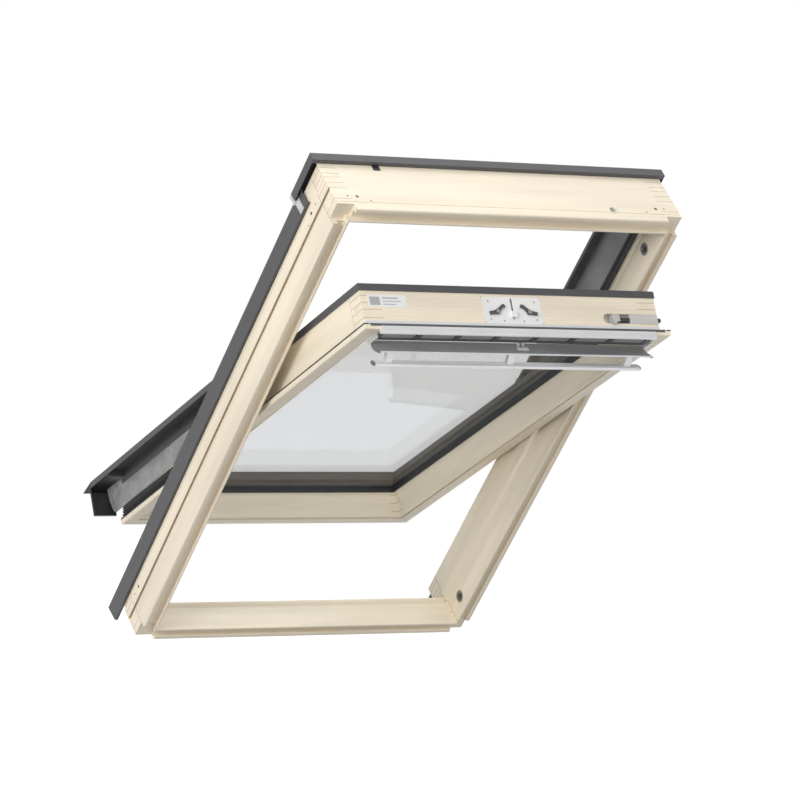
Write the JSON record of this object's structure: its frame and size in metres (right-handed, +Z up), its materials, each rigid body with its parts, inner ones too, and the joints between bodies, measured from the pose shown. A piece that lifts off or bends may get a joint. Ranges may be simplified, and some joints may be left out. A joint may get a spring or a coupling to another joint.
{
  "type": "roof window",
  "caption": "Centre-pivot timber roof window with frame, tilting glazed sash, metal covers, ventilation flap with control bar, claw lock and barrel bolt.",
  "frame": {"origin": "centre of the frame opening, in the plane of the timber frame's room-side corners", "axes": "+X to the right seen from the room, +Z up, -Y towards the room; the window lies in a 45 degree roof slope, its top edge towards the room"},
  "size_m": [0.8, 1.1441, 0.9422],
  "materials": {
    "frame_wood": "clear lacquered pine",
    "sash_wood": "clear lacquered pine",
    "screw": "zinc plated, countersunk",
    "ivory_plastic": "moulded",
    "bush": "turned steel",
    "gasket": "extruded rubber",
    "cladding": "grey lacquered aluminium, matt",
    "strap": "mill finish",
    "black_plastic": "moulded",
    "lining": "grey coated sheet",
    "galvanised": "hot-dip galvanised sheet",
    "glass": "clear float glass",
    "spacer": "folded steel spacer",
    "seal": "butyl seal",
    "lock_white": "white coated steel",
    "steel_dark": "dark zinc plated",
    "steel": "zinc plated",
    "alu": "satin anodised",
    "alu_flap": "satin anodised, darker",
    "filter": "filter fleece",
    "grille": "moulded"
  },
  "bodies": {
    "frame": {"frame_top_rail": "frame_wood", "frame_bottom_rail": "frame_wood", "frame_left_stile": "frame_wood", "frame_right_stile": "frame_wood", "frame_screws": "screw", "cable_grommet": "ivory_plastic", "bolt_bushes": "bush", "frame_gaskets": "gasket", "frame_cladding_left": "cladding", "frame_cladding_right": "cladding", "frame_top_casing": "cladding", "casing_straps": "strap", "casing_clips": "black_plastic", "upper_cover_left": "cladding", "upper_cover_right": "cladding", "side_linings": "lining", "lining_screws": "steel", "frame_bottom_cover": "cladding", "frame_hinges": "galvanised", "lock_keeper": "galvanised"},
    "sash": {"sash_hinges": "galvanised", "sash_top_rail": "sash_wood", "sash_bottom_rail": "sash_wood", "sash_left_stile": "sash_wood", "sash_right_stile": "sash_wood", "inner_pane": "glass", "outer_pane": "glass", "spacer_bar": "spacer", "edge_seal": "seal", "glazing_gaskets": "gasket", "sash_gaskets": "gasket", "sash_cap_left": "cladding", "sash_cap_right": "cladding", "sash_cap_top": "cladding", "sash_cap_bottom": "cladding", "lower_cover_left": "cladding", "lower_cover_right": "cladding", "bottom_cover": "cladding", "cover_ends": "black_plastic", "side_plate_left": "galvanised", "side_plate_right": "galvanised", "lock_casing": "lock_white", "lock_rivets": "steel", "bolt_housing": "steel", "vent_trim": "alu", "vent_bar": "alu", "vent_filter": "filter", "vent_grille": "grille", "flap_brackets": "steel"},
    "flap": {"flap_body": "alu_flap", "end_caps": "grille", "bar_posts": "alu", "control_bar": "alu", "link_bracket": "lock_white"},
    "claw_l": {"claw_left": "steel_dark"},
    "claw_r": {"claw_right": "steel_dark"},
    "slider": {"lock_slider": "lock_white"},
    "barrel_bolt": {"bolt": "steel_dark"}
  },
  "joints": [
    {"name": "sash_pivot", "type": "hinge", "parent": "frame", "child": "sash", "pos_m": [0, 0.10394, 0.10394], "axis": [1, 0, 0], "range_deg": [-24.7, 132.3]},
    {"name": "flap_hinge", "type": "hinge", "parent": "sash", "child": "flap", "pos_m": [0, -0.39757, 0.15938], "axis": [1, 0, 0], "range_deg": [-46, 14]},
    {"name": "bolt_slide", "type": "slide", "parent": "sash", "child": "barrel_bolt", "axis": [1, 0, 0], "range_m": [0, 0.026]},
    {"name": "lock_slide", "type": "slide", "parent": "sash", "child": "slider", "axis": [0, 0.3469, 0.9379], "range_m": [-0.004, 0.012]},
    {"name": "claw_left_turn", "type": "hinge", "parent": "sash", "child": "claw_l", "pos_m": [-0.036, -0.41201, 0.22123], "axis": [0, 0.9379, -0.3469], "range_deg": [-20, 7]},
    {"name": "claw_right_turn", "type": "hinge", "parent": "sash", "child": "claw_r", "pos_m": [0.036, -0.41201, 0.22123], "axis": [0, 0.9379, -0.3469], "range_deg": [-7, 20]}
  ],
  "couplings": [
    {"joint": "lock_slide", "follows": "flap_hinge", "m_per_rad": -0.012},
    {"joint": "claw_right_turn", "follows": "flap_hinge", "ratio": -0.4},
    {"joint": "claw_left_turn", "follows": "flap_hinge", "ratio": 0.4}
  ]
}
